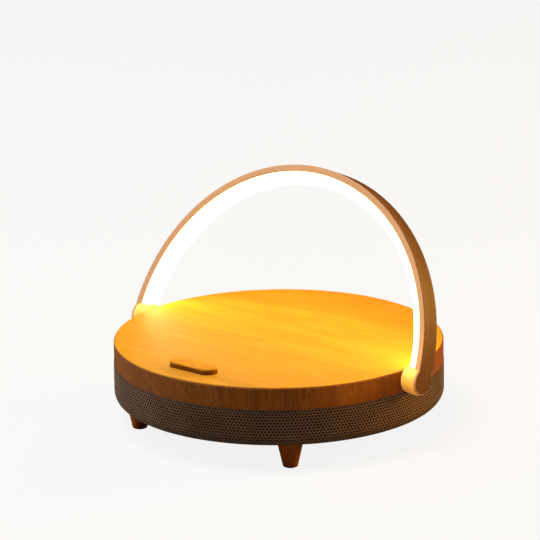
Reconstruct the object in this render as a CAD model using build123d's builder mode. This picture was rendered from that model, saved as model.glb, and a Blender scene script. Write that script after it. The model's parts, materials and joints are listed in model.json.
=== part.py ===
from build123d import *
import os
from math import cos, radians, sin

# A round bedside charging pad: a wood-look cap over a perforated grille band, on four
# turned legs, with a folding arch lamp hinged on both sides and a speaker inside.
# Millimetres, +Z up, feet on z = 0, the arch hinge along X, the key at the front (-Y).

os.makedirs("parts", exist_ok=True)

# ---- driving dimensions ---------------------------------------------------------------

# base
base_radius = 90.5
cap_height = 12.6
cap_plate = 3.0
cap_wall = 2.6
cap_edge = 1.0
grille_radius = 90.7
grille_height = 21.1
grille_sheet = 0.8
grille_curl = 5.8
cloth_radius = 89.1
cloth_sheet = 0.6
cloth_gap = 0.3
frame_radius = 88.2
frame_wall = 2.2
frame_flange = 6.8
cover_radius = 84.6
cover_plate = 2.2

# legs
leg_height = 15.0
leg_circle = 77.3
leg_top_radius = 7.3
leg_foot_radius = 4.0
leg_edge = 0.7
pad_radius = 3.0
pad_height = 1.2
pad_proud = 0.3
pad_edge = 0.15
leg_spread = 46.15
leg_angles = {
    "leg_rear_right": leg_spread,
    "leg_rear_left": 180 - leg_spread,
    "leg_front_left": 180 + leg_spread,
    "leg_front_right": -leg_spread,
}

# arch lamp
pivot_drop = 5.8
arch_radius = 101.0
arch_width = 12.3
arch_thickness = 3.6
arch_lean = 24.0
arch_edge = 0.5
channel_width = 9.2
channel_depth = 1.8
diffuser_crown = 91.2
diffuser_half = 5.5
diffuser_wall = 1.5
lip_wall = 0.7
lip_depth = 1.2
lip_root = 0.4
lip_gap = 0.05
led_gap = 0.03
strip_width = 7.4
strip_sheet = 0.3
led_count = 29
led_pitch = 6.0
led_size = (2.8, 3.5, 0.8)

# hubs and hinge
hub_face_x = 90.9
hub_wide_x = 97.0
hub_end_x = 99.7
hub_face_radius = 7.6
hub_wide_radius = 8.2
hub_end_radius = 7.3
hub_face_chamfer = 0.5
hub_shoulder = (1.6, 0.25)
ear_radius = 7.6
ear_edge = 0.7
axle_radius = 1.8
axle_bore = 1.0
axle_in_x = 77.6
axle_out_x = 98.4
running_gap = 0.05
bushing_radius = 2.6
bushing_flange = 3.5
bushing_flange_sheet = 1.4
bushing_set_back = 0.3
washer_gap = 0.1
bracket_plate = 1.6
bracket_face_x = 86.6
bracket_width = 18.0
bracket_arm_x = 68.0
bracket_screw_x = 72.0
bracket_screw_y = 5.5
bracket_reach = 6.4
hinge_relief_x = 76.8
hinge_relief_width = 7.8
hinge_relief_top = 46.9

# control key
key_y = -72.0
key_length = 30.0
key_width = 10.0
key_proud = 3.2
key_end_gap = 0.5
key_side_gap = 0.4
key_edge = 0.9
key_dish_radius = 90.0
key_dish_depth = 0.45
key_pin_radius = 0.8
key_pin_length = 12.0
key_travel = 0.5

# charging coil
coil_outer = 22.0
coil_inner = 8.5
ferrite_radius = 23.5
tray_radius = 26.0

# speaker
driver_radius = 28.5

# power inlet
port_cut = 12.0
port_gap = 0.1
port_width = 16.4
port_height = 10.2
bezel_proud = 0.4
bezel_gap = 0.2
port_mouth_width = 12.8
port_mouth_height = 6.8

# fasteners
screw_radius = 1.4
screw_head_radius = 2.6
screw_head = 1.8
screw_head_edge = 0.7
cross_length = 2.6
cross_width = 0.6
cross_depth = 0.9
screw_gap = 0.1

# ---- levels ---------------------------------------------------------------------------

cover_z = leg_height
cover_top = cover_z + cover_plate
grille_top = cover_z + grille_height
top_z = grille_top + cap_height
plate_z = top_z - cap_plate
pivot_z = top_z - pivot_drop
curl_z = cover_z + grille_curl
frame_z = cover_top + 0.2
lug_height = 3.0
lug_z = grille_top - lug_height

# ---- shared planes and places ---------------------------------------------------------

lean = radians(arch_lean)
arch_up = Vector(0, sin(lean), cos(lean))
arch_front = Vector(0, -cos(lean), sin(lean))
pivot = Vector(0, 0, pivot_z)
# the arch's own plane: x along the hinge, y up the arch
arch_plane = Plane(origin=pivot, x_dir=(1, 0, 0), z_dir=arch_front)
# the arch's cross-section at its right end: x outward, y towards the front
arch_section = Plane(origin=pivot, x_dir=(1, 0, 0), z_dir=-arch_up)
arch_axis = Axis(pivot, arch_front)
hinge_axis = Axis(pivot, (1, 0, 0))
# the hubs and axles are turned about the hinge line: x along it, y away from it
hinge_section = Plane(origin=pivot, x_dir=(1, 0, 0), z_dir=(0, -1, 0))


def ring_points(radius, angles):
    """Places on a circle about Z, at angles in degrees from +X."""
    return [(radius * cos(radians(a)), radius * sin(radians(a))) for a in angles]


def write(piece, node):
    """Label a finished piece and write its STEP file."""
    piece.part.label = node
    export_step(piece.part, f"parts/{node}.step")


def port_plane(distance):
    """A plane facing the rear, centred on the power inlet, at a distance from the middle."""
    return Plane(origin=(0, distance, port_z), x_dir=(-1, 0, 0), z_dir=(0, 1, 0))


def screws(points, z, length, point_down):
    """Pan-head screws at points, their heads' bearing faces at z."""
    way = -1 if point_down else 1
    with BuildPart() as group:
        with BuildSketch(Plane.XY.offset(z)):
            with Locations(*points):
                Circle(screw_head_radius)
        extrude(amount=-way * screw_head)
        outer_face = group.faces().filter_by(Axis.Z).group_by(Axis.Z)[1 if point_down else 0]
        fillet(outer_face.edges(), screw_head_edge)
        with BuildSketch(Plane.XY.offset(z)):
            with Locations(*points):
                Circle(screw_radius)
        extrude(amount=way * length)
        with BuildSketch(Plane.XY.offset(z - way * screw_head)):
            with Locations(*points):
                Rectangle(cross_length, cross_width)
                Rectangle(cross_width, cross_length)
        extrude(amount=way * cross_depth, mode=Mode.SUBTRACT)
    return group


cover_screw_points = ring_points(80.5, (22.5, 157.5, 202.5, 337.5))
cap_screw_angles = (67.5, 112.5, 247.5, 292.5)
cap_screw_points = ring_points(80.0, cap_screw_angles)
leg_points = ring_points(leg_circle, leg_angles.values())
tray_screw_points = ring_points(29.6, (30, 150, 270))
driver_screw_points = ring_points(25.5, (45, 135, 225, 315))
key_board_points = [(-18.0, key_y), (18.0, key_y)]
bracket_screw_points = [
    (x, y)
    for x in (-bracket_screw_x, bracket_screw_x)
    for y in (-bracket_screw_y, bracket_screw_y)
]

# boards
main_board_size = (56.0, 32.0, 1.6)
main_board_y = 49.0
main_board_z = 24.0
main_board_posts = [(-25.0, 36.0), (25.0, 36.0), (-25.0, 62.0), (25.0, 62.0)]
port_board_size = (20.0, 15.5, 1.6)
port_board_y = 75.2
port_board_z = 24.0
port_board_posts = [(-7.5, 70.5), (7.5, 70.5)]
socket_size = (8.94, 7.4, 3.26)
socket_mouth_y = 87.0
port_z = port_board_z + port_board_size[2] + socket_size[2] / 2

# ---- cap ------------------------------------------------------------------------------

boss_radius = 3.4
boss_pilot = 8.0
plate_pilot = 2.1
merge = 0.5
skirt_chamfer = 0.3
key_post_radius = 2.2
key_post_pilot = 6.0
key_board_top = 37.9
key_guide_z = 41.5
key_guide_gap = 0.35
key_guide_wall = 1.6
key_slot_z = 40.0
carrier_size = (18.0, 12.4)

with BuildPart() as top_cap:
    with BuildSketch(Plane.XY.offset(grille_top)):
        Circle(base_radius)
    extrude(amount=cap_height)
    fillet(top_cap.edges().group_by(Axis.Z)[-1], cap_edge)
    chamfer(top_cap.edges().group_by(Axis.Z)[0], skirt_chamfer)
    with BuildSketch(Plane.XY.offset(grille_top)):
        Circle(base_radius - cap_wall)
    extrude(amount=cap_height - cap_plate, mode=Mode.SUBTRACT)
    # bosses that the frame screws into, and posts for the key's board
    with BuildSketch(Plane.XY.offset(grille_top)):
        with Locations(*cap_screw_points):
            Circle(boss_radius)
    extrude(amount=cap_height - cap_plate + merge)
    with BuildSketch(Plane.XY.offset(key_board_top)):
        with Locations(*key_board_points):
            Circle(key_post_radius)
    extrude(amount=plate_z - key_board_top + merge)
    # walls that guide the key's carrier; the slot then opens them at their two ends
    with BuildSketch(Plane.XY.offset(key_guide_z)):
        with Locations((0, key_y)):
            Rectangle(*(size + 2 * (key_guide_gap + key_guide_wall) for size in carrier_size))
            Rectangle(*(size + 2 * key_guide_gap for size in carrier_size), mode=Mode.SUBTRACT)
    extrude(amount=plate_z - key_guide_z + merge)
    with BuildSketch(Plane.XY.offset(key_slot_z)):
        with Locations((0, key_y)):
            SlotOverall(key_length + 2 * key_end_gap, key_width + 2 * key_side_gap)
    extrude(amount=top_z - key_slot_z, mode=Mode.SUBTRACT)
    # pilot holes
    with BuildSketch(Plane.XY.offset(grille_top)):
        with Locations(*cap_screw_points):
            Circle(screw_radius + screw_gap)
    extrude(amount=boss_pilot, mode=Mode.SUBTRACT)
    with BuildSketch(Plane.XY.offset(key_board_top)):
        with Locations(*key_board_points):
            Circle(screw_radius + screw_gap)
    extrude(amount=key_post_pilot, mode=Mode.SUBTRACT)
    with BuildSketch(Plane.XY.offset(plate_z)):
        with Locations(*tray_screw_points, *bracket_screw_points):
            Circle(screw_radius + screw_gap)
    extrude(amount=plate_pilot, mode=Mode.SUBTRACT)
    # room for the hinge's bushings and nuts under the plate, and its holes through the skirt
    with BuildSketch(Plane.XY.offset(plate_z)):
        for side in (-1, 1):
            with Locations((side * (hinge_relief_x + base_radius - cap_wall) / 2, 0)):
                Rectangle(base_radius - cap_wall - hinge_relief_x, hinge_relief_width)
    extrude(amount=hinge_relief_top - plate_z, mode=Mode.SUBTRACT)
    with BuildSketch(Plane.YZ):
        with Locations((0, pivot_z)):
            Circle(bushing_radius + screw_gap)
    extrude(amount=base_radius + 1, both=True, mode=Mode.SUBTRACT)
write(top_cap, "top_cap")

# ---- grille band and the cloth behind it ----------------------------------------------

with BuildPart() as grille_sleeve:
    with BuildSketch(Plane.XZ):
        with BuildLine():
            Line((grille_radius - grille_sheet, grille_top), (grille_radius, grille_top))
            Line((grille_radius, grille_top), (grille_radius, curl_z))
            CenterArc((grille_radius - grille_curl, curl_z), grille_curl, 0, -90)
            Line(
                (grille_radius - grille_curl, cover_z),
                (grille_radius - grille_curl, cover_z + grille_sheet),
            )
            CenterArc(
                (grille_radius - grille_curl, curl_z), grille_curl - grille_sheet, 0, -90
            )
            Line(
                (grille_radius - grille_sheet, curl_z),
                (grille_radius - grille_sheet, grille_top),
            )
        make_face()
    revolve(axis=Axis.Z)
    with BuildSketch(port_plane(grille_radius - port_cut / 2)):
        SlotOverall(port_width + 2 * port_gap, port_height + 2 * port_gap)
    extrude(amount=port_cut, mode=Mode.SUBTRACT)
write(grille_sleeve, "grille_sleeve")

with BuildPart() as acoustic_cloth:
    with BuildSketch(Plane.XY.offset(curl_z)):
        Circle(cloth_radius)
        Circle(cloth_radius - cloth_sheet, mode=Mode.SUBTRACT)
    extrude(amount=grille_top - curl_z - cloth_gap)
    with BuildSketch(port_plane(cloth_radius - port_cut / 2)):
        SlotOverall(port_width + 2 * port_gap, port_height + 2 * port_gap)
    extrude(amount=port_cut, mode=Mode.SUBTRACT)
write(acoustic_cloth, "acoustic_cloth")

# ---- inner frame: the ring that the grille wraps, with sound windows ------------------

window_count = 20
window_z = 26.5
window_size = (17.0, 7.0)
window_corner = 2.0
flange_sheet = 2.0
lug_circle = 81.6
lug_size = (10.4, 8.0)
spigot_height = 3.0
spigot_root = 1.0
bracket_room = 24.0
spigot_gap = 0.15
frame_boss_radius = 3.6
frame_boss_height = 9.0
spigot_radius = base_radius - cap_wall - spigot_gap

with BuildPart() as inner_frame:
    with BuildSketch(Plane.XY.offset(frame_z)):
        Circle(frame_radius)
        Circle(frame_radius - frame_wall, mode=Mode.SUBTRACT)
    extrude(amount=grille_top - frame_z)
    with BuildSketch(Plane.XY.offset(frame_z)):
        Circle(frame_radius - frame_wall / 2)
        Circle(frame_radius - frame_flange, mode=Mode.SUBTRACT)
    extrude(amount=flange_sheet)
    # the spigot that locates the cap, open where the hinge brackets stand
    with BuildSketch(Plane.XY.offset(grille_top - spigot_root)):
        Circle(spigot_radius)
        Circle(frame_radius - frame_wall, mode=Mode.SUBTRACT)
        Rectangle(2 * base_radius, bracket_room, mode=Mode.SUBTRACT)
    extrude(amount=spigot_height + spigot_root)
    # sound windows
    for step in range(window_count):
        turn = (step + 0.5) * 360 / window_count
        outward = Vector(cos(radians(turn)), sin(radians(turn)), 0)
        side_plane = Plane(origin=(0, 0, window_z), x_dir=Vector(0, 0, 1).cross(outward), z_dir=outward)
        with BuildSketch(side_plane.offset(frame_radius - frame_flange)):
            RectangleRounded(*window_size, window_corner)
        extrude(amount=frame_flange + frame_wall, mode=Mode.SUBTRACT)
    # bosses for the cover's screws, and lugs for the cap's screws
    with BuildSketch(Plane.XY.offset(frame_z)):
        with Locations(*cover_screw_points):
            Circle(frame_boss_radius)
    extrude(amount=frame_boss_height)
    for angle in cap_screw_angles:
        with BuildSketch(Plane.XY.offset(lug_z)):
            with Locations(Location((0, 0, 0), (0, 0, angle))):
                with Locations((lug_circle, 0)):
                    RectangleRounded(*lug_size, window_corner)
        extrude(amount=lug_height)
    with BuildSketch(Plane.XY.offset(frame_z)):
        with Locations(*cover_screw_points):
            Circle(screw_radius + screw_gap)
    extrude(amount=frame_boss_height - 1, mode=Mode.SUBTRACT)
    with BuildSketch(Plane.XY.offset(lug_z)):
        with Locations(*cap_screw_points):
            Circle(screw_radius + screw_gap)
    extrude(amount=lug_height, mode=Mode.SUBTRACT)
    with BuildSketch(port_plane(frame_radius - port_cut / 2)):
        SlotOverall(port_mouth_width, port_mouth_height)
    extrude(amount=port_cut, mode=Mode.SUBTRACT)
write(inner_frame, "inner_frame")

# ---- bottom cover ---------------------------------------------------------------------

sound_rings = ((4.5, 6), (9.0, 12), (13.5, 18), (18.0, 24))
sound_hole = 1.2
post_radius = 2.8
cover_edge = 0.6
sink_gap = 0.2
sink_depth = 1.2
skin = 0.6
post_skin = 0.4

with BuildPart() as bottom_cover:
    with BuildSketch(Plane.XY.offset(cover_z)):
        Circle(cover_radius)
    extrude(amount=cover_plate)
    fillet(bottom_cover.edges().group_by(Axis.Z)[0], cover_edge)
    with BuildSketch(Plane.XY.offset(cover_top)):
        with Locations(*main_board_posts):
            Circle(post_radius)
    extrude(amount=main_board_z - cover_top)
    with BuildSketch(Plane.XY.offset(cover_top)):
        with Locations(*port_board_posts):
            Circle(post_radius)
    extrude(amount=port_board_z - cover_top)
    # sound holes under the speaker
    with BuildSketch(Plane.XY.offset(cover_z)):
        Circle(sound_hole)
        for ring_radius, count in sound_rings:
            with PolarLocations(ring_radius, count):
                Circle(sound_hole)
    extrude(amount=cover_plate, mode=Mode.SUBTRACT)
    # holes for the legs' screws, and sunk holes for the cover's own
    with BuildSketch(Plane.XY.offset(cover_z)):
        with Locations(*leg_points, *cover_screw_points):
            Circle(screw_radius + screw_gap)
    extrude(amount=cover_plate, mode=Mode.SUBTRACT)
    with BuildSketch(Plane.XY.offset(cover_z)):
        with Locations(*cover_screw_points):
            Circle(screw_head_radius + sink_gap)
    extrude(amount=sink_depth, mode=Mode.SUBTRACT)
    # pilot holes in the posts, and in the cover where the speaker's screws go
    with BuildSketch(Plane.XY.offset(cover_top + post_skin)):
        with Locations(*main_board_posts, *port_board_posts):
            Circle(screw_radius + screw_gap)
    extrude(amount=main_board_z - cover_top, mode=Mode.SUBTRACT)
    with BuildSketch(Plane.XY.offset(cover_z + skin)):
        with Locations(*driver_screw_points):
            Circle(screw_radius + screw_gap)
    extrude(amount=cover_plate, mode=Mode.SUBTRACT)
write(bottom_cover, "bottom_cover")

# ---- legs, pads and the screws under the base -----------------------------------------

leg_screw_depth = 9.0
cover_screw_length = 8.0
cap_screw_length = 9.0

for leg_name, leg_angle in leg_angles.items():
    leg_place = Plane(
        origin=(leg_circle * cos(radians(leg_angle)), leg_circle * sin(radians(leg_angle)), 0)
    )
    with BuildPart(leg_place) as leg:
        with BuildSketch(leg_place.offset(pad_proud)):
            Circle(leg_foot_radius)
        with BuildSketch(leg_place.offset(leg_height)):
            Circle(leg_top_radius)
        loft()
        fillet(leg.edges().group_by(Axis.Z)[0], leg_edge)
        with BuildSketch(leg_place.offset(pad_proud)):
            Circle(pad_radius)
        extrude(amount=pad_height - pad_proud, mode=Mode.SUBTRACT)
        with BuildSketch(leg_place.offset(leg_height)):
            Circle(screw_radius + screw_gap)
        extrude(amount=-leg_screw_depth - 0.5, mode=Mode.SUBTRACT)
    write(leg, leg_name)

with BuildPart() as foot_pads:
    with BuildSketch():
        with Locations(*leg_points):
            Circle(pad_radius)
    extrude(amount=pad_height)
    fillet(foot_pads.edges().group_by(Axis.Z)[0], pad_edge)
write(foot_pads, "foot_pads")

write(screws(leg_points, cover_top, cover_plate + leg_screw_depth, True), "leg_screws")
write(
    screws(cover_screw_points, cover_z + sink_depth, cover_screw_length, False),
    "cover_screws",
)
write(screws(cap_screw_points, lug_z, cap_screw_length, False), "cap_screws")

# ---- charging coil --------------------------------------------------------------------

coil_top = plate_z - 0.1
coil_height = 1.3
ferrite_height = 0.9
tray_floor = 1.4
coil_turns = 9
groove = 0.3
groove_depth = 0.4
turn_pitch = (coil_outer - coil_inner) / coil_turns

with BuildPart() as charging_coil:
    with BuildSketch(Plane.XY.offset(coil_top - coil_height)):
        Circle(coil_outer)
        Circle(coil_inner, mode=Mode.SUBTRACT)
    extrude(amount=coil_height)
    # grooves between the turns of wire
    with BuildSketch(Plane.XY.offset(coil_top - groove_depth)):
        for turn in range(1, coil_turns):
            Circle(coil_inner + turn * turn_pitch + groove / 2)
            Circle(coil_inner + turn * turn_pitch - groove / 2, mode=Mode.SUBTRACT)
    extrude(amount=groove_depth, mode=Mode.SUBTRACT)
write(charging_coil, "charging_coil")

with BuildPart() as coil_ferrite:
    with BuildSketch(Plane.XY.offset(coil_top - coil_height - ferrite_height)):
        Circle(ferrite_radius)
    extrude(amount=ferrite_height)
write(coil_ferrite, "coil_ferrite")

tray_z = coil_top - coil_height - ferrite_height - tray_floor
tray_lug_height = 1.6
tray_lug_radius = 4.2
tray_gap = 0.3
plate_screw_bite = 1.9

with BuildPart() as coil_tray:
    with BuildSketch(Plane.XY.offset(tray_z)):
        Circle(tray_radius)
    extrude(amount=tray_floor)
    with BuildSketch(Plane.XY.offset(tray_z)):
        Circle(tray_radius)
        Circle(ferrite_radius + tray_gap, mode=Mode.SUBTRACT)
    extrude(amount=plate_z - tray_z)
    with BuildSketch(Plane.XY.offset(plate_z - tray_lug_height)):
        with Locations(*tray_screw_points):
            Circle(tray_lug_radius)
        Circle(ferrite_radius + 2 * tray_gap, mode=Mode.SUBTRACT)
    extrude(amount=tray_lug_height)
    with BuildSketch(Plane.XY.offset(plate_z - tray_lug_height)):
        with Locations(*tray_screw_points):
            Circle(screw_radius + screw_gap)
    extrude(amount=tray_lug_height, mode=Mode.SUBTRACT)
write(coil_tray, "coil_tray")

# the short screws that hold the tray and the hinge brackets up under the cap
write(
    screws(
        tray_screw_points + bracket_screw_points,
        plate_z - tray_lug_height,
        tray_lug_height + plate_screw_bite,
        False,
    ),
    "plate_screws",
)

# ---- speaker, facing down through the bottom cover ------------------------------------

flange_height = 1.4
basket_top = 28.6
neck_radius = 13.4
plate_height = 1.6
magnet_radius = 15.0
magnet_height = 5.0
yoke_height = 1.8
pole_radius = 5.4
cone_edge_radius = 17.2
cone_neck_radius = 6.3
cone_sheet = 0.6
cone_lift = 1.9
cone_depth = 6.6
cone_z = cover_top + cone_lift
basket_mouth = 20.6
basket_shoulder = 22.6
basket_wall = 1.2
basket_bore = 7.4
basket_window = (8.4, 11.0)
basket_window_circle = 18.6
basket_window_depth = 6.2
basket_window_skin = 0.6
basket_window_corner = 1.5
magnet_bore = 8.0
yoke_edge = 0.5
coil_reach = 2.5
surround_gap = 0.05
surround_middle = 18.8
surround_outer = 20.5
surround_sheet = 0.6
surround_rise = 1.4

with BuildPart() as speaker_frame:
    with BuildSketch(Plane.XZ):
        with BuildLine():
            Polyline(
                (basket_mouth, cover_top),
                (driver_radius, cover_top),
                (driver_radius, cover_top + flange_height),
                (basket_shoulder, cover_top + flange_height),
                (neck_radius + basket_wall, basket_top),
                (neck_radius + basket_wall, basket_top + plate_height),
                (basket_bore, basket_top + plate_height),
                (basket_bore, basket_top),
                (neck_radius, basket_top),
                (basket_mouth, cover_top + 2 * flange_height),
                (basket_mouth, cover_top),
            )
        make_face()
    revolve(axis=Axis.Z)
    # the basket's windows
    with BuildSketch(Plane.XY.offset(basket_top - basket_window_skin)):
        with PolarLocations(basket_window_circle, 4, start_angle=0):
            RectangleRounded(*basket_window, basket_window_corner)
    extrude(amount=-basket_window_depth, mode=Mode.SUBTRACT)
    with BuildSketch(Plane.XY.offset(cover_top)):
        with Locations(*driver_screw_points):
            Circle(screw_radius + screw_gap)
    extrude(amount=flange_height, mode=Mode.SUBTRACT)
write(speaker_frame, "speaker_frame")

with BuildPart() as speaker_cone:
    with BuildSketch(Plane.XZ):
        with BuildLine():
            Polyline(
                (cone_edge_radius, cone_z),
                (cone_edge_radius, cone_z + cone_sheet),
                (cone_neck_radius, cone_z + cone_depth),
                (cone_neck_radius - cone_sheet, cone_z + cone_depth),
                (cone_neck_radius - cone_sheet, cone_z + cone_depth - 1),
                (cone_edge_radius, cone_z),
            )
        make_face()
    revolve(axis=Axis.Z)
write(speaker_cone, "speaker_cone")

dome_radius = 13.0
dome_sheet = 0.5
dome_arc = 35.2
dome_z = cone_z + dome_radius + 2.0

with BuildPart() as dust_cap:
    with BuildSketch(Plane.XZ):
        with BuildLine():
            under = CenterArc((0, dome_z), dome_radius, -90, dome_arc)
            over = CenterArc((0, dome_z), dome_radius - dome_sheet, -90, dome_arc)
            Line(under @ 0, over @ 0)
            Line(under @ 1, over @ 1)
        make_face()
    revolve(axis=Axis.Z)
write(dust_cap, "dust_cap")

surround_inner = cone_edge_radius + surround_gap
surround_top = cone_z + surround_sheet

with BuildPart() as speaker_surround:
    with BuildSketch(Plane.XZ):
        with BuildLine():
            Line((surround_inner, cone_z), (surround_inner, surround_top))
            ThreePointArc(
                (surround_inner, surround_top),
                (surround_middle, surround_top + surround_rise),
                (surround_outer, surround_top),
            )
            Line((surround_outer, surround_top), (surround_outer, cone_z))
            ThreePointArc(
                (surround_outer, cone_z),
                (surround_middle, cone_z + surround_rise),
                (surround_inner, cone_z),
            )
        make_face()
    revolve(axis=Axis.Z)
write(speaker_surround, "speaker_surround")

with BuildPart() as voice_coil:
    with BuildSketch(Plane.XY.offset(cone_z + cone_depth)):
        Circle(cone_neck_radius)
        Circle(cone_neck_radius - cone_sheet, mode=Mode.SUBTRACT)
    extrude(amount=basket_top + plate_height + coil_reach - cone_z - cone_depth)
write(voice_coil, "voice_coil")

with BuildPart() as magnet_ring:
    with BuildSketch(Plane.XY.offset(basket_top + plate_height)):
        Circle(magnet_radius)
        Circle(magnet_bore, mode=Mode.SUBTRACT)
    extrude(amount=magnet_height)
write(magnet_ring, "magnet_ring")

with BuildPart() as magnet_yoke:
    with BuildSketch(Plane.XY.offset(basket_top + plate_height + magnet_height)):
        Circle(magnet_radius)
    extrude(amount=yoke_height)
    with BuildSketch(Plane.XY.offset(basket_top)):
        Circle(pole_radius)
    extrude(amount=plate_height + magnet_height)
    chamfer(magnet_yoke.edges().group_by(Axis.Z)[-1], yoke_edge)
write(magnet_yoke, "magnet_yoke")

write(
    screws(driver_screw_points, cover_top + flange_height, 2 * flange_height, True),
    "speaker_screws",
)

# ---- boards and the power inlet -------------------------------------------------------

board_parts = [
    # centre x, centre y, size x, size y, height
    (-14.0, 52.0, 9.0, 9.0, 1.2),
    (4.0, 55.0, 7.0, 7.0, 1.0),
    (16.0, 44.0, 6.0, 6.0, 3.0),
    (-4.0, 41.0, 6.0, 5.0, 1.6),
    (20.0, 56.0, 7.0, 5.0, 4.0),
]
capacitor_points = [(-22.0, 44.0), (-22.0, 54.0)]
capacitor_radius = 3.1
capacitor_height = 6.5
board_screw_bite = 5.0

with BuildPart() as main_board:
    with BuildSketch(Plane.XY.offset(main_board_z)):
        with Locations((0, main_board_y)):
            RectangleRounded(main_board_size[0], main_board_size[1], 2.0)
        with Locations(*main_board_posts):
            Circle(screw_radius + screw_gap, mode=Mode.SUBTRACT)
    extrude(amount=main_board_size[2])
write(main_board, "main_board")

board_top = main_board_z + main_board_size[2]
with BuildPart() as board_components:
    for x, y, length, width, height in board_parts:
        with BuildSketch(Plane.XY.offset(board_top)):
            with Locations((x, y)):
                Rectangle(length, width)
        extrude(amount=height)
    with BuildSketch(Plane.XY.offset(board_top)):
        with Locations(*capacitor_points):
            Circle(capacitor_radius)
    extrude(amount=capacitor_height)
write(board_components, "board_components")

with BuildPart() as port_board:
    with BuildSketch(Plane.XY.offset(port_board_z)):
        with Locations((0, port_board_y)):
            RectangleRounded(port_board_size[0], port_board_size[1], 1.0)
        with Locations(*port_board_posts):
            Circle(screw_radius + screw_gap, mode=Mode.SUBTRACT)
    extrude(amount=port_board_size[2])
write(port_board, "port_board")

write(
    screws(main_board_posts + port_board_posts, board_top, main_board_size[2] + board_screw_bite, True),
    "board_screws",
)

shell_sheet = 0.35
tongue_width = 6.6
tongue_height = 0.7
tongue_set_back = 0.8
socket_back = 1.2

with BuildPart() as usb_socket:
    with BuildSketch(port_plane(socket_mouth_y)):
        SlotOverall(socket_size[0], socket_size[2])
    extrude(amount=-socket_size[1])
    with BuildSketch(port_plane(socket_mouth_y)):
        SlotOverall(socket_size[0] - 2 * shell_sheet, socket_size[2] - 2 * shell_sheet)
    extrude(amount=-socket_size[1] + socket_back, mode=Mode.SUBTRACT)
    with BuildSketch(port_plane(socket_mouth_y - tongue_set_back)):
        Rectangle(tongue_width, tongue_height)
    extrude(amount=-socket_size[1] + tongue_set_back + socket_back / 2)
write(usb_socket, "usb_socket")

with BuildPart() as port_bezel:
    with BuildSketch(port_plane(frame_radius - port_cut / 2)):
        SlotOverall(port_width, port_height)
        SlotOverall(port_mouth_width, port_mouth_height, mode=Mode.SUBTRACT)
    extrude(amount=port_cut)
    with BuildSketch(Plane.XY.offset(cover_z)):
        Circle(grille_radius + bezel_proud)
        Circle(frame_radius + bezel_gap, mode=Mode.SUBTRACT)
    extrude(amount=grille_height, mode=Mode.INTERSECT)
write(port_bezel, "port_bezel")

# ---- control key: it rocks on a pin in a carrier, and the carrier presses down ---------

key_top = top_z + key_proud
key_skirt_z = plate_z - 0.4
key_pin_z = 43.4
key_block = (12.0, 7.0)
key_block_z = 42.0
key_foot_x = 13.0
key_foot = (2.6, 4.0)
key_foot_z = 40.8
key_pocket_width = 8.2
key_pocket_length = 13.6
carrier_top = 44.7
carrier_floor = 1.0
switch_height = 1.1
stem_height = 0.6
switch_gap = 0.3
dot_radius = 0.75
dot_sheet = 0.22
dot_z = key_top - key_dish_depth - 0.25
mark_x = 9.0
mark_length = 2.2
mark_width = 0.5
mark_sheet = 0.36
mark_z = key_top - 0.42
carrier_floor_z = key_board_top + switch_height + stem_height + key_travel + switch_gap

with BuildPart() as control_key:
    with BuildSketch(Plane.XY.offset(key_skirt_z)):
        with Locations((0, key_y)):
            SlotOverall(key_length, key_width)
    extrude(amount=key_top - key_skirt_z)
    fillet(control_key.edges().group_by(Axis.Z)[-1], key_edge)
    # a shallow finger dish across the top
    with BuildSketch(Plane.XZ.offset(-key_y - key_width)):
        with Locations((0, key_top + key_dish_radius - key_dish_depth)):
            Circle(key_dish_radius)
    extrude(amount=2 * key_width, mode=Mode.SUBTRACT)
    # the block that turns on the pin, and the two feet over the end switches
    with BuildSketch(Plane.XY.offset(key_block_z)):
        with Locations((0, key_y)):
            Rectangle(*key_block)
    extrude(amount=key_skirt_z - key_block_z + 0.5)
    with BuildSketch(Plane.XY.offset(key_foot_z)):
        with Locations((-key_foot_x, key_y), (key_foot_x, key_y)):
            Rectangle(*key_foot)
    extrude(amount=key_skirt_z - key_foot_z + 0.5)
    with BuildSketch(Plane.XZ.offset(-key_y - key_width)):
        with Locations((0, key_pin_z)):
            Circle(key_pin_radius)
    extrude(amount=2 * key_width, mode=Mode.SUBTRACT)
    # shallow seats for the marks: a dot in the middle, a bar at the left, a cross at the right
    with BuildSketch(Plane.XY.offset(dot_z)):
        with Locations((0, key_y)):
            Circle(dot_radius)
    extrude(amount=1, mode=Mode.SUBTRACT)
    with BuildSketch(Plane.XY.offset(mark_z)):
        with Locations((-mark_x, key_y), (mark_x, key_y)):
            Rectangle(mark_length, mark_width)
        with Locations((mark_x, key_y)):
            Rectangle(mark_width, mark_length)
    extrude(amount=1, mode=Mode.SUBTRACT)
write(control_key, "control_key")

with BuildPart() as key_marks:
    with BuildSketch(Plane.XY.offset(dot_z)):
        with Locations((0, key_y)):
            Circle(dot_radius)
    extrude(amount=dot_sheet)
    with BuildSketch(Plane.XY.offset(mark_z)):
        with Locations((-mark_x, key_y), (mark_x, key_y)):
            Rectangle(mark_length, mark_width)
        with Locations((mark_x, key_y)):
            Rectangle(mark_width, mark_length)
    extrude(amount=mark_sheet)
write(key_marks, "key_marks")

with BuildPart() as key_pin:
    with BuildSketch(Plane.XZ.offset(-key_y - key_pin_length / 2)):
        with Locations((0, key_pin_z)):
            Circle(key_pin_radius)
    extrude(amount=key_pin_length)
write(key_pin, "key_pin")

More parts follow.
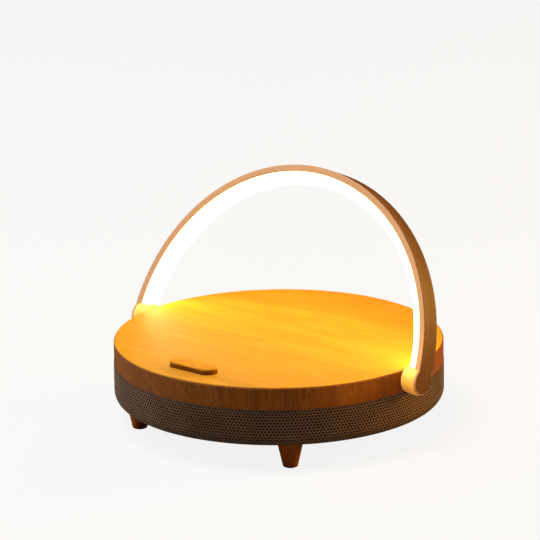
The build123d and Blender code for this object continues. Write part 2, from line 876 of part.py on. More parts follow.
with BuildPart() as key_carrier:
    with BuildSketch(Plane.XY.offset(carrier_floor_z)):
        with Locations((0, key_y)):
            Rectangle(*carrier_size)
    extrude(amount=carrier_top - carrier_floor_z)
    with BuildSketch(Plane.XY.offset(carrier_floor_z + carrier_floor)):
        with Locations((0, key_y)):
            Rectangle(key_pocket_length, key_pocket_width)
    extrude(amount=carrier_top, mode=Mode.SUBTRACT)
    with BuildSketch(Plane.XZ.offset(-key_y - key_width)):
        with Locations((0, key_pin_z)):
            Circle(key_pin_radius + running_gap)
    extrude(amount=2 * key_width, mode=Mode.SUBTRACT)
write(key_carrier, "key_carrier")

key_board_sheet = 1.0
key_board_size = (42.0, 13.0)
key_board_corner = 1.5
key_board_screw_bite = 4.5
switch_side = 4.2
switch_corner = 0.4
stem_radius = 1.0
switch_points = [(-key_foot_x, key_y), (0, key_y), (key_foot_x, key_y)]

with BuildPart() as key_board:
    with BuildSketch(Plane.XY.offset(key_board_top - key_board_sheet)):
        with Locations((0, key_y)):
            RectangleRounded(*key_board_size, key_board_corner)
        with Locations(*key_board_points):
            Circle(screw_radius + screw_gap, mode=Mode.SUBTRACT)
    extrude(amount=key_board_sheet)
write(key_board, "key_board")

with BuildPart() as key_switches:
    with BuildSketch(Plane.XY.offset(key_board_top)):
        with Locations(*switch_points):
            RectangleRounded(switch_side, switch_side, switch_corner)
    extrude(amount=switch_height)
    with BuildSketch(Plane.XY.offset(key_board_top + switch_height)):
        with Locations(*switch_points):
            Circle(stem_radius)
    extrude(amount=stem_height)
write(key_switches, "key_switches")
write(
    screws(
        key_board_points,
        key_board_top - key_board_sheet,
        key_board_sheet + key_board_screw_bite,
        False,
    ),
    "key_board_screws",
)

# ---- hinge, one set on each side ------------------------------------------------------


def hub_curve(side):
    """The curved end of a hub's profile, from its widest ring to its outer face."""
    shoulder_x, shoulder_drop = hub_shoulder
    ThreePointArc(
        (side * hub_wide_x, hub_wide_radius),
        (side * (hub_wide_x + shoulder_x), hub_wide_radius - shoulder_drop),
        (side * hub_end_x, hub_end_radius),
    )


washer_radius = 3.3
washer_height = 0.9
nut_flats = 6.0
nut_height = 2.6
lead_radius = 0.7
lead_gap = 0.02

for side_name, side in (("left", -1), ("right", 1)):
    with BuildPart() as hub:
        with BuildSketch(hinge_section):
            with BuildLine():
                Polyline(
                    (side * hub_face_x, axle_radius),
                    (side * hub_face_x, hub_face_radius - hub_face_chamfer),
                    (side * (hub_face_x + hub_face_chamfer), hub_face_radius),
                    (side * hub_wide_x, hub_wide_radius),
                )
                hub_curve(side)
                Polyline(
                    (side * hub_end_x, hub_end_radius),
                    (side * hub_end_x, 0),
                    (side * axle_out_x, 0),
                    (side * axle_out_x, axle_radius),
                    (side * hub_face_x, axle_radius),
                )
            make_face()
        revolve(axis=hinge_axis)
    write(hub, f"hub_{side_name}")

    with BuildPart() as axle:
        with BuildSketch(hinge_section):
            with Locations((side * (axle_in_x + axle_out_x) / 2, (axle_radius + axle_bore) / 2)):
                Rectangle(axle_out_x - axle_in_x, axle_radius - axle_bore)
        revolve(axis=hinge_axis)
    write(axle, f"axle_{side_name}")

    bush_in = bracket_face_x - bracket_plate - bushing_flange_sheet
    with BuildPart() as bushing:
        with BuildSketch(hinge_section):
            with BuildLine():
                Polyline(
                    (side * bush_in, axle_radius + running_gap),
                    (side * bush_in, bushing_flange),
                    (side * (bush_in + bushing_flange_sheet), bushing_flange),
                    (side * (bush_in + bushing_flange_sheet), bushing_radius),
                    (side * (base_radius - bushing_set_back), bushing_radius),
                    (side * (base_radius - bushing_set_back), axle_radius + running_gap),
                    (side * bush_in, axle_radius + running_gap),
                )
            make_face()
        revolve(axis=hinge_axis)
    write(bushing, f"bushing_{side_name}")

    with BuildPart() as friction_washer:
        with BuildSketch(hinge_section):
            middle = bush_in - washer_gap - washer_height / 2
            with Locations((side * middle, (washer_radius + axle_radius) / 2)):
                Rectangle(washer_height, washer_radius - axle_radius)
        revolve(axis=hinge_axis)
    write(friction_washer, f"friction_washer_{side_name}")

    nut_face = bush_in - washer_gap - washer_height
    nut_plane = Plane(origin=(side * nut_face, 0, pivot_z), x_dir=(0, 1, 0), z_dir=(-side, 0, 0))
    with BuildPart() as axle_nut:
        with BuildSketch(nut_plane):
            RegularPolygon(nut_flats / 2, 6, major_radius=False)
            Circle(axle_radius, mode=Mode.SUBTRACT)
        extrude(amount=nut_height)
    write(axle_nut, f"axle_nut_{side_name}")

    bracket_plane = Plane(
        origin=(side * (bracket_face_x - bracket_plate), 0, 0), x_dir=(0, side, 0), z_dir=(side, 0, 0)
    )
    with BuildPart() as bracket:
        with BuildSketch(bracket_plane):
            with Locations((0, (plate_z + pivot_z - bracket_reach) / 2)):
                Rectangle(bracket_width, plate_z - pivot_z + bracket_reach)
        extrude(amount=bracket_plate)
        with BuildSketch(Plane.XY.offset(plate_z - bracket_plate)):
            with Locations((side * (bracket_face_x + bracket_arm_x) / 2, 0)):
                Rectangle(bracket_face_x - bracket_arm_x, bracket_width)
        extrude(amount=bracket_plate)
        with BuildSketch(Plane.XY.offset(plate_z - bracket_plate)):
            with Locations(
                (side * bracket_screw_x, -bracket_screw_y), (side * bracket_screw_x, bracket_screw_y)
            ):
                Circle(screw_radius + screw_gap)
        extrude(amount=bracket_plate, mode=Mode.SUBTRACT)
        with BuildSketch(bracket_plane):
            with Locations((0, pivot_z)):
                Circle(bushing_radius)
        extrude(amount=bracket_plate, mode=Mode.SUBTRACT)
        # room for the nut and washer
        with BuildSketch(Plane.XY.offset(plate_z - bracket_plate)):
            with Locations((side * (hinge_relief_x + bracket_face_x - bracket_plate) / 2, 0)):
                Rectangle(bracket_face_x - bracket_plate - hinge_relief_x, hinge_relief_width)
        extrude(amount=bracket_plate, mode=Mode.SUBTRACT)
    write(bracket, f"hinge_bracket_{side_name}")

# the lamp's lead inside the right axle, which turns with the arch
with BuildPart() as arch_lead:
    with BuildSketch(Plane(origin=(axle_in_x, 0, pivot_z), x_dir=(0, 1, 0), z_dir=(1, 0, 0))):
        Circle(lead_radius)
    extrude(amount=axle_out_x - axle_in_x)
write(arch_lead, "arch_lead")

# ---- leads held inside the base -------------------------------------------------------

lead_end_z = board_top + lead_gap
lamp_lead_route = [
    (axle_in_x - 0.3, 0, pivot_z),
    (66.0, 0, pivot_z),
    (56.0, 14.0, 36.0),
    (40.0, 34.0, 33.0),
    (25.0, 50.0, 33.0),
    (25.0, 50.0, lead_end_z),
]
coil_lead_route = [
    (-20.0, 26.0, 43.0),
    (-20.0, 34.0, 43.0),
    (-8.0, 46.0, 33.0),
    (-8.0, 50.0, 33.0),
    (-8.0, 50.0, lead_end_z),
]
key_lead_route = [
    (-8.0, -68.5, key_board_top - key_board_sheet - lead_gap),
    (-8.0, -68.5, 32.0),
    (-34.0, -30.0, 32.0),
    (-44.0, 6.0, 32.0),
    (-34.0, 34.0, 33.0),
    (-24.0, 61.0, 36.0),
    (-10.0, 61.0, 33.0),
    (-10.0, 61.0, lead_end_z),
]
port_lead_route = [
    (0, 70.5, port_board_z + port_board_size[2] + lead_gap),
    (0, 70.5, 29.0),
    (0, 61.0, 29.0),
    (0, 61.0, lead_end_z),
]


def lead(route, radius, bend):
    """A wire along straight runs joined by arcs."""
    with BuildPart() as wire:
        with BuildLine() as path:
            FilletPolyline(*route, radius=bend)
        with BuildSketch(Plane(origin=path.line @ 0, z_dir=path.line % 0)):
            Circle(radius)
        sweep()
    return wire


write(lead(lamp_lead_route, lead_radius, 3.0), "lamp_lead")
write(lead(coil_lead_route, lead_radius, 1.8), "coil_lead")
write(lead(key_lead_route, lead_radius, 1.8), "key_lead")
write(lead(port_lead_route, lead_radius, 1.5), "port_lead")

# ---- arch: wood-look shell, light strip and diffuser -----------------------------------

shell_inner = arch_radius - arch_thickness
arch_half = arch_width / 2
channel_floor = shell_inner + channel_depth


def hub_envelope():
    """The space the two hubs fill, to cut from the arch's ends."""
    with BuildPart(mode=Mode.PRIVATE) as space:
        for side in (-1, 1):
            with BuildSketch(hinge_section):
                with BuildLine():
                    Polyline(
                        (side * (hub_face_x - 4), 0),
                        (side * (hub_face_x - 4), hub_face_radius),
                        (side * (hub_face_x + hub_face_chamfer), hub_face_radius),
                        (side * hub_wide_x, hub_wide_radius),
                    )
                    hub_curve(side)
                    Polyline(
                        (side * hub_end_x, hub_end_radius),
                        (side * hub_end_x, 0),
                        (side * (hub_face_x - 4), 0),
                    )
                make_face()
            revolve(axis=hinge_axis)
    return space.part


with BuildPart() as arch_shell:
    # round ears at both ends, over the hubs, their outer faces curved with the arch
    for side in (-1, 1):
        with BuildSketch(hinge_section):
            with BuildLine():
                edge = CenterArc(
                    (side * (arch_radius - ear_edge), ear_radius - ear_edge),
                    ear_edge,
                    90 - 90 * side,
                    90 * side,
                )
                Polyline(
                    edge @ 1,
                    (side * hub_end_x, ear_radius),
                    (side * hub_end_x, 0),
                    (side * arch_radius, 0),
                    edge @ 0,
                )
            make_face()
        revolve(axis=hinge_axis)
    with BuildSketch(arch_plane):
        Circle(arch_radius)
    extrude(amount=ear_radius, both=True, mode=Mode.INTERSECT)
    with BuildSketch(arch_section):
        with Locations(((shell_inner + arch_radius) / 2, 0)):
            RectangleRounded(arch_thickness, arch_width, arch_edge)
    revolve(axis=arch_axis, revolution_arc=180)
    with BuildSketch(arch_section):
        with Locations((shell_inner + channel_depth / 2, 0)):
            Rectangle(channel_depth, channel_width)
    revolve(axis=arch_axis, revolution_arc=180, mode=Mode.SUBTRACT)
    add(hub_envelope(), mode=Mode.SUBTRACT)
write(arch_shell, "arch_shell")

with BuildPart() as arch_diffuser:
    with BuildSketch(arch_section):
        with Locations((shell_inner, 0)):
            Ellipse(shell_inner - diffuser_crown, diffuser_half)
            Ellipse(
                shell_inner - diffuser_crown - diffuser_wall,
                diffuser_half - diffuser_wall,
                mode=Mode.SUBTRACT,
            )
        with Locations((shell_inner + arch_width, 0)):
            Rectangle(2 * arch_width, 2 * arch_width, mode=Mode.SUBTRACT)
        # two lips that clip into the shell's channel
        for way in (-1, 1):
            lip_place = channel_width / 2 - lip_wall / 2 - lip_gap
            with Locations((shell_inner + (lip_depth - lip_root) / 2, way * lip_place)):
                Rectangle(lip_depth + lip_root, lip_wall)
    revolve(axis=arch_axis, revolution_arc=180)
    add(hub_envelope(), mode=Mode.SUBTRACT)
write(arch_diffuser, "arch_diffuser")

with BuildPart() as led_strip:
    with BuildSketch(arch_section):
        with Locations((channel_floor - strip_sheet / 2, 0)):
            Rectangle(strip_sheet, strip_width)
    revolve(axis=arch_axis, revolution_arc=180)
    add(hub_envelope(), mode=Mode.SUBTRACT)
write(led_strip, "led_strip")

with BuildPart() as led_chips:
    for step in range(led_count):
        turn = 90 + (step - (led_count - 1) / 2) * led_pitch
        outward = Vector(cos(radians(turn)), 0, 0) + arch_up * sin(radians(turn))
        chip_plane = Plane(
            origin=pivot + outward * (channel_floor - strip_sheet - led_gap), x_dir=arch_front, z_dir=-outward
        )
        with BuildSketch(chip_plane):
            Rectangle(led_size[0], led_size[1])
        extrude(amount=led_size[2])
write(led_chips, "led_chips")
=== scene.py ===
import json
import math

import bpy
from mathutils import Matrix, Vector


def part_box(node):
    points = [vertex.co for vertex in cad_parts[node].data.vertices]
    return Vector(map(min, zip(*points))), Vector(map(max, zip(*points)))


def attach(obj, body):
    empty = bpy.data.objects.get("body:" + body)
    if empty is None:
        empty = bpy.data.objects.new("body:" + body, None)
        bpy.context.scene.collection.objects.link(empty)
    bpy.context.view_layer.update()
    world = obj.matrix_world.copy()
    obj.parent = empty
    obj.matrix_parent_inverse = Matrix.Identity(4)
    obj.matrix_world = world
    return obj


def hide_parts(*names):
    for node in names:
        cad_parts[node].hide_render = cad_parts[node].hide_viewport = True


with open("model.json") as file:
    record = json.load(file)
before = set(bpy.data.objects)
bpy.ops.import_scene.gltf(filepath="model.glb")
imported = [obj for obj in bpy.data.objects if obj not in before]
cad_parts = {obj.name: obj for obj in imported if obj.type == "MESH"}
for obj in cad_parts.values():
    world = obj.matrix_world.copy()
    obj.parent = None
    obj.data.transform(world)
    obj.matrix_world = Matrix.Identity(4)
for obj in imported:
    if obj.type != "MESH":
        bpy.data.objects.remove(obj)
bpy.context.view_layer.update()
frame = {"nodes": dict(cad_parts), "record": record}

# A round charging pad with a lit arch, a perforated speaker band and four turned legs.
# Metres, +Z up. Sizes read from the frame; the few repeated from the CAD are named here.

MM = 0.001
GRILLE_CURL = 5.8 * MM
GRILLE_SHEET = 0.8 * MM
PORT_HALF = Vector((8.3 * MM, 5.2 * MM))
CLOTH_RADIUS = 89.1 * MM
ARCH_LEAN = math.radians(24.0)
PIVOT_Z = 42.9 * MM
ARCH_RADIUS = 101.0 * MM
SHELL_INNER = 97.4 * MM
ARCH_HALF = 6.15 * MM
EAR_RADIUS = 7.6 * MM

# the lamp's glow: its strength, its faint ripple along the arch, and its spill over the hubs, which is
# painted glow: emission in the hubs' own wood
OPAL_GLOW = 17.0
GLOW_RIPPLE = 10.2 * MM
HUB_PAINTED_GLOW = 2.6
HUB_PAINTED_GLOW_LOW = 0.24
HUB_PAINTED_GLOW_REACH = 8.5 * MM

cap_low, cap_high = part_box("top_cap")
TOP_Z = cap_high.z
SKIRT_Z = cap_low.z


# ---- node helpers -----------------------------------------------------------------------


class Tree:
    """A material's node tree, with short ways to add and join its nodes."""

    def __init__(self, name):
        self.mat = bpy.data.materials.new(name)
        self.mat.use_nodes = True
        self.tree = self.mat.node_tree
        self.nodes = self.tree.nodes
        self.shader = self.nodes["Principled BSDF"]
        self.coords = self.nodes.new("ShaderNodeTexCoord").outputs["Object"]

    def join(self, source, socket):
        """Join an output to an input, or set the input to a plain value."""
        if isinstance(source, bpy.types.NodeSocket):
            self.tree.links.new(source, socket)
        else:
            socket.default_value = source

    def math(self, operation, *values, clamp=False):
        node = self.nodes.new("ShaderNodeMath")
        node.operation = operation
        node.use_clamp = clamp
        for value, socket in zip(values, node.inputs):
            self.join(value, socket)
        return node.outputs[0]

    def hypot(self, a, b):
        squares = self.math("ADD", self.math("MULTIPLY", a, a), self.math("MULTIPLY", b, b))
        return self.math("SQRT", squares)

    def split(self):
        """The object's x, y and z."""
        node = self.nodes.new("ShaderNodeSeparateXYZ")
        self.join(self.coords, node.inputs[0])
        return node.outputs

    def combine(self, x, y, z):
        node = self.nodes.new("ShaderNodeCombineXYZ")
        for value, socket in zip((x, y, z), node.inputs):
            self.join(value, socket)
        return node.outputs[0]

    def scaled(self, scale, vector=None, turn=(0.0, 0.0, 0.0)):
        """Coordinates scaled, then turned. Scales are per millimetre."""
        node = self.nodes.new("ShaderNodeMapping")
        node.vector_type = "POINT"
        self.join(vector if vector is not None else self.coords, node.inputs["Vector"])
        node.inputs["Rotation"].default_value = turn
        node.inputs["Scale"].default_value = tuple(s / MM for s in scale)
        return node.outputs[0]

    def noise(self, vector, detail=2.0, rough=0.5, distortion=0.0):
        node = self.nodes.new("ShaderNodeTexNoise")
        self.join(vector, node.inputs["Vector"])
        node.inputs["Scale"].default_value = 1.0
        node.inputs["Detail"].default_value = detail
        node.inputs["Roughness"].default_value = rough
        node.inputs["Distortion"].default_value = distortion
        return node.outputs[0]

    def step(self, value, low, high, out_low=0.0, out_high=1.0):
        """A smooth step of value from low to high."""
        node = self.nodes.new("ShaderNodeMapRange")
        node.interpolation_type = "SMOOTHSTEP"
        self.join(value, node.inputs["Value"])
        node.inputs["From Min"].default_value = low
        node.inputs["From Max"].default_value = high
        node.inputs["To Min"].default_value = out_low
        node.inputs["To Max"].default_value = out_high
        return node.outputs[0]

    def spread(self, value, low, high):
        """value from 0..1 spread linearly over low..high."""
        node = self.nodes.new("ShaderNodeMapRange")
        self.join(value, node.inputs["Value"])
        node.inputs["To Min"].default_value = low
        node.inputs["To Max"].default_value = high
        return node.outputs[0]

    def ramp(self, value, *stops):
        """A colour ramp of (place, colour) stops."""
        node = self.nodes.new("ShaderNodeValToRGB")
        self.join(value, node.inputs["Fac"])
        elements = node.color_ramp.elements
        while len(elements) < len(stops):
            elements.new(0.5)
        for element, (place, colour) in zip(elements, stops):
            element.position = place
            element.color = (*colour, 1.0)
        return node.outputs["Color"]

    def mix(self, factor, a, b, blend="MIX"):
        node = self.nodes.new("ShaderNodeMix")
        node.data_type = "RGBA"
        node.blend_type = blend
        for value, socket in zip((factor, a, b), (node.inputs[0], node.inputs[6], node.inputs[7])):
            if isinstance(value, tuple):
                value = (*value, 1.0)
            self.join(value, socket)
        return node.outputs[2]

    def bump(self, height, distance, strength=1.0):
        """Bump of a 0..1 height, distance in millimetres."""
        node = self.nodes.new("ShaderNodeBump")
        node.inputs["Strength"].default_value = strength
        node.inputs["Distance"].default_value = distance * MM
        self.join(height, node.inputs["Height"])
        self.join(node.outputs[0], self.shader.inputs["Normal"])

    def finish(self, colour, roughness, **values):
        self.join(colour, self.shader.inputs["Base Color"])
        self.join(roughness, self.shader.inputs["Roughness"])
        for name, value in values.items():
            self.shader.inputs[name.replace("_", " ")].default_value = value
        return self.mat


def grain(t, vector, fine=1.0):
    """Wood grain 0..1: broad soft bands, fine streaks and darker pores, along the vector's x."""
    broad = t.noise(t.scaled((0.012, 0.10 * fine, 0.10 * fine), vector), 3.0, 0.55, 0.6)
    streak = t.noise(t.scaled((0.030, 0.9 * fine, 0.9 * fine), vector), 4.0, 0.6, 0.3)
    pores = t.noise(t.scaled((0.16, 3.4 * fine, 3.4 * fine), vector), 2.0, 0.6)
    pores = t.step(pores, 0.40, 0.62)
    value = t.math("MULTIPLY", broad, 0.5)
    value = t.math("MULTIPLY_ADD", streak, 0.36, value)
    return t.math("MULTIPLY_ADD", pores, 0.14, value)


def arch_place(t):
    """Arch coordinates: across the band, along its arc, the radius and the height in its plane."""
    x, y, z = t.split()
    up = t.math("SUBTRACT", z, PIVOT_Z)
    lean_sin, lean_cos = math.sin(ARCH_LEAN), math.cos(ARCH_LEAN)
    across = t.math("ADD", t.math("MULTIPLY", y, -lean_cos), t.math("MULTIPLY", up, lean_sin))
    rise = t.math("ADD", t.math("MULTIPLY", y, lean_sin), t.math("MULTIPLY", up, lean_cos))
    radius = t.hypot(x, rise)
    along = t.math("MULTIPLY", t.math("ARCTAN2", rise, x), ARCH_RADIUS)
    return across, along, radius, rise


def wood_cap():
    """The cap: honey-coloured top, the side wrapped in darker veneer, its darkness partly the veneer's own
    tone and partly painted shade.
    """
    t = Tree("wood_cap")
    top = grain(t, t.coords)
    top_colour = t.ramp(
        top, (0.30, (0.45, 0.196, 0.011)), (0.50, (0.55, 0.250, 0.014)), (0.70, (0.65, 0.305, 0.020))
    )
    # the veneer's grain leans at the front left and stands upright at the right
    x, y, z = t.split()
    from_left = t.math("ADD", x, t.math("MULTIPLY", y, 0.3))
    lean = t.step(from_left, -70 * MM, 10 * MM, 16.0, 0.5)
    turn = t.nodes.new("ShaderNodeVectorRotate")
    turn.rotation_type = "Z_AXIS"
    t.join(t.coords, turn.inputs["Vector"])
    t.join(t.math("MULTIPLY", lean, t.math("SUBTRACT", z, SKIRT_Z)), turn.inputs["Angle"])
    around = turn.outputs[0]
    broad = t.noise(t.scaled((0.13, 0.13, 0.025), around), 3.0, 0.6, 0.8)
    fine = t.noise(t.scaled((0.75, 0.75, 0.05), around), 4.0, 0.6, 0.4)
    pores = t.step(t.noise(t.scaled((2.6, 2.6, 0.22), around), 2.0, 0.6), 0.42, 0.6)
    side = t.math("MULTIPLY_ADD", fine, 0.40, t.math("MULTIPLY", broad, 0.45))
    side = t.math("MULTIPLY_ADD", pores, 0.15, side)
    # the side's dark tone is partly the veneer's own colour and partly painted shade, standing for the side
    # being out of the lamp's light
    shaded_side_colour = t.ramp(
        side, (0.32, (0.120, 0.034, 0.0036)), (0.50, (0.175, 0.053, 0.0060)), (0.68, (0.240, 0.078, 0.0100))
    )
    upper = t.step(z, TOP_Z - 0.42 * MM, TOP_Z - 0.12 * MM)
    colour = t.mix(upper, shaded_side_colour, top_colour)
    lower = t.math("SUBTRACT", 1.0, upper)
    value = t.math("ADD", t.math("MULTIPLY", upper, top), t.math("MULTIPLY", lower, side))
    t.bump(value, 0.05, 0.6)
    return t.finish(colour, t.spread(value, 0.66, 0.54), Specular_IOR_Level=0.10)


def wood_key():
    """The key: the same honey wood, its sides darkened with painted shade."""
    t = Tree("wood_key")
    top = grain(t, t.coords)
    top_colour = t.ramp(
        top, (0.28, (0.45, 0.190, 0.012)), (0.50, (0.55, 0.240, 0.017)), (0.72, (0.64, 0.290, 0.024))
    )
    upper = t.step(t.split()[2], TOP_Z + 2.0 * MM, TOP_Z + 2.7 * MM)
    # painted shade: the key's sides are a much darker copy of the top's colour, standing for the shadow
    # round them
    shaded_side_colour = t.mix(0.85, top_colour, (0.22, 0.13, 0.09), "MULTIPLY")
    colour = t.mix(upper, shaded_side_colour, top_colour)
    t.bump(top, 0.05, 0.6)
    return t.finish(colour, t.spread(top, 0.75, 0.62), Specular_IOR_Level=0.03)


def wood_hub():
    """The hubs: light wood, the grain upright, with painted glow: the wood emits light itself, rising to
    their tops, in place of the lamp's spill.
    """
    t = Tree("wood_hub")
    value = grain(t, t.scaled((0.001, 0.001, 0.001), turn=(0.0, math.pi / 2, 0.0)), 1.6)
    colour = t.ramp(
        value, (0.28, (0.66, 0.28, 0.030)), (0.50, (0.80, 0.38, 0.045)), (0.72, (0.88, 0.46, 0.070))
    )
    rise = arch_place(t)[3]
    # painted glow: emission in the hubs' own wood, strongest towards the lamp, stands for the lamp's light
    # on them
    t.join((1.0, 0.52, 0.11, 1.0), t.shader.inputs["Emission Color"])
    lift = t.math("POWER", t.math("MULTIPLY_ADD", rise, 0.5 / HUB_PAINTED_GLOW_REACH, 0.5, clamp=True), 2.6)
    t.join(t.math("MULTIPLY_ADD", lift, HUB_PAINTED_GLOW, HUB_PAINTED_GLOW_LOW), t.shader.inputs["Emission Strength"])
    t.bump(value, 0.05, 0.7)
    return t.finish(colour, t.spread(value, 0.50, 0.38), Specular_IOR_Level=0.3)


def wood_arch():
    """The arch: brown veneer along the outside, painted darker towards its rear edge as shade; lighter edges
    where the layers show, partly painted glow from the diffuser.
    """
    t = Tree("wood_arch")
    across, along, radius, rise = arch_place(t)
    place = t.combine(along, across, radius)
    value = grain(t, place, 1.5)
    face = t.ramp(
        value, (0.28, (0.082, 0.031, 0.009)), (0.50, (0.122, 0.049, 0.014)), (0.72, (0.168, 0.071, 0.023))
    )
    # painted shade: the outer face is darkened towards its rear edge
    front = t.step(across, -ARCH_HALF, ARCH_HALF)
    face = t.mix(front, t.mix(0.35, face, (0.045, 0.018, 0.004)), face)
    # the lighter edges, on the band's sides, the ears' rims and the faces inside the outer skin, are partly
    # the layers' own tone and partly painted glow from the diffuser
    edge = t.ramp(value, (0.30, (0.53, 0.285, 0.150)), (0.70, (0.64, 0.365, 0.205)))
    band_side = t.step(t.math("ABSOLUTE", across), ARCH_HALF - 0.42 * MM, ARCH_HALF - 0.12 * MM)
    from_pivot = t.hypot(across, rise)
    ear_side = t.step(from_pivot, EAR_RADIUS - 0.55 * MM, EAR_RADIUS - 0.20 * MM)
    above = t.step(rise, 3.0 * MM, 6.0 * MM)
    side = t.math("MULTIPLY_ADD", above, t.math("SUBTRACT", band_side, ear_side), ear_side)
    inside = t.step(radius, ARCH_RADIUS - 1.2 * MM, ARCH_RADIUS - 0.9 * MM, 1.0, 0.0)
    side = t.math("MAXIMUM", side, inside)
    colour = t.mix(side, face, edge)
    t.bump(value, 0.05, 0.6)
    return t.finish(colour, t.spread(value, 0.60, 0.50), Specular_IOR_Level=0.12)


def wood_leg():
    """The legs: turned hardwood, grain upright, darker towards the bottom."""
    t = Tree("wood_leg")
    value = grain(t, t.scaled((0.001, 0.001, 0.001), turn=(0.0, math.pi / 2, 0.0)), 1.3)
    colour = t.ramp(
        value, (0.28, (0.20, 0.046, 0.002)), (0.50, (0.30, 0.071, 0.003)), (0.72, (0.40, 0.103, 0.006))
    )
    height = t.split()[2]
    low_darkening = t.step(height, 0.4 * MM, 2.4 * MM, 0.35, 0.0)
    colour = t.mix(low_darkening, colour, (0.07, 0.025, 0.008))
    t.bump(value, 0.06, 0.7)
    return t.finish(colour, t.spread(value, 0.55, 0.42), Specular_IOR_Level=0.15)


def grille_paint():
    """Brown paint on the perforated band, clouded and finely speckled."""
    t = Tree("grille_paint")
    cloud = t.noise(t.scaled((0.05, 0.05, 0.05)), 3.0)
    speck = t.noise(t.scaled((3.5, 3.5, 3.5)), 3.0, 0.65)
    value = t.math("MULTIPLY_ADD", speck, 0.5, t.math("MULTIPLY", cloud, 0.5))
    colour = t.ramp(
        value, (0.34, (0.088, 0.045, 0.025)), (0.50, (0.130, 0.070, 0.041)), (0.68, (0.176, 0.101, 0.064))
    )
    t.bump(speck, 0.03, 0.5)
    return t.finish(colour, t.spread(value, 0.50, 0.38), Metallic=0.2, Specular_IOR_Level=0.25)


def opal():
    """The lit diffuser: white and bright in the middle, warm and dimmer at its two edges."""
    t = Tree("opal")
    across, along, radius, _ = arch_place(t)
    haze = t.noise(t.scaled((0.25, 0.25, 0.25)), 2.0)
    colour = t.ramp(haze, (0.3, (0.86, 0.82, 0.74)), (0.7, (0.92, 0.89, 0.82)))
    ripple = t.math("COSINE", t.math("MULTIPLY", along, math.tau / GLOW_RIPPLE))
    wave = t.spread(t.math("MULTIPLY_ADD", ripple, 0.5, 0.5), 0.94, 1.0)
    edge = t.step(t.math("ABSOLUTE", across), 3.6 * MM, 5.5 * MM)
    low = t.step(radius, SHELL_INNER - 1.8 * MM, SHELL_INNER - 0.2 * MM)
    rim = t.math("MULTIPLY", edge, low)
    glow = t.mix(rim, (1.0, 0.70, 0.36), (1.0, 0.62, 0.22))
    t.join(glow, t.shader.inputs["Emission Color"])
    strength = t.math("MULTIPLY", wave, t.spread(rim, OPAL_GLOW, OPAL_GLOW * 0.22))
    t.join(strength, t.shader.inputs["Emission Strength"])
    t.bump(haze, 0.02, 0.4)
    return t.finish(colour, t.spread(haze, 0.40, 0.52))


def plain(name, dark, light, scale, rough, bump=0.02, **values):
    """A moulded, painted, plated or rubber surface: clouded colour, fine speckle, bump."""
    t = Tree(name)
    cloud = t.noise(t.scaled((scale * 0.06,) * 3), 3.0)
    speck = t.noise(t.scaled((scale,) * 3), 3.0, 0.65)
    value = t.math("MULTIPLY_ADD", speck, 0.55, t.math("MULTIPLY", cloud, 0.45))
    colour = t.ramp(value, (0.34, dark), (0.66, light))
    t.bump(speck, bump, 0.6)
    return t.finish(colour, t.spread(value, rough[1], rough[0]), **values)


def cloth_weave():
    """Black acoustic cloth: a plain weave round the band."""
    t = Tree("cloth_weave")
    x, y, z = t.split()
    around = t.math("MULTIPLY", t.math("ARCTAN2", x, t.math("MULTIPLY", y, -1.0)), CLOTH_RADIUS)
    thread = math.tau / (0.35 * MM)
    warp = t.math("SINE", t.math("MULTIPLY", around, thread))
    weft = t.math("SINE", t.math("MULTIPLY", z, thread))
    weave = t.math("MULTIPLY_ADD", t.math("MULTIPLY", warp, weft), 0.5, 0.5)
    lint = t.noise(t.scaled((0.6, 0.6, 0.6)), 3.0)
    value = t.math("MULTIPLY_ADD", lint, 0.5, t.math("MULTIPLY", weave, 0.5))
    colour = t.ramp(value, (0.25, (0.006, 0.005, 0.005)), (0.75, (0.022, 0.019, 0.017)))
    t.bump(weave, 0.08, 0.8)
    return t.finish(colour, t.spread(value, 0.85, 0.95), Sheen_Weight=0.15)


def brushed(name, dark, light, axis_scale, rough, **values):
    """Brushed, turned or plated metal with fine marks."""
    t = Tree(name)
    marks = t.noise(t.scaled(axis_scale), 3.0, 0.6)
    cloud = t.noise(t.scaled((0.2, 0.2, 0.2)), 2.0)
    value = t.math("MULTIPLY_ADD", marks, 0.6, t.math("MULTIPLY", cloud, 0.4))
    colour = t.ramp(value, (0.32, dark), (0.68, light))
    t.bump(marks, 0.012, 0.5)
    return t.finish(colour, t.spread(value, rough[0], rough[1]), Metallic=1.0, **values)


def solder_board():
    """Green solder mask with faint copper tracks under it."""
    t = Tree("solder_board")
    x, y, _ = t.split()
    tracks = t.math("PINGPONG", t.math("ADD", x, t.math("MULTIPLY", y, 0.35)), 0.9 * MM)
    track = t.step(tracks, 0.60 * MM, 0.72 * MM)
    patch = t.step(t.noise(t.scaled((0.12, 0.12, 0.12)), 2.0), 0.46, 0.54)
    track = t.math("MULTIPLY", track, patch)
    speck = t.noise(t.scaled((2.0, 2.0, 2.0)), 3.0)
    base = t.ramp(speck, (0.3, (0.006, 0.055, 0.022)), (0.7, (0.010, 0.080, 0.034)))
    colour = t.mix(track, base, (0.030, 0.150, 0.060))
    t.bump(track, 0.03, 0.8)
    return t.finish(colour, t.spread(speck, 0.30, 0.42))


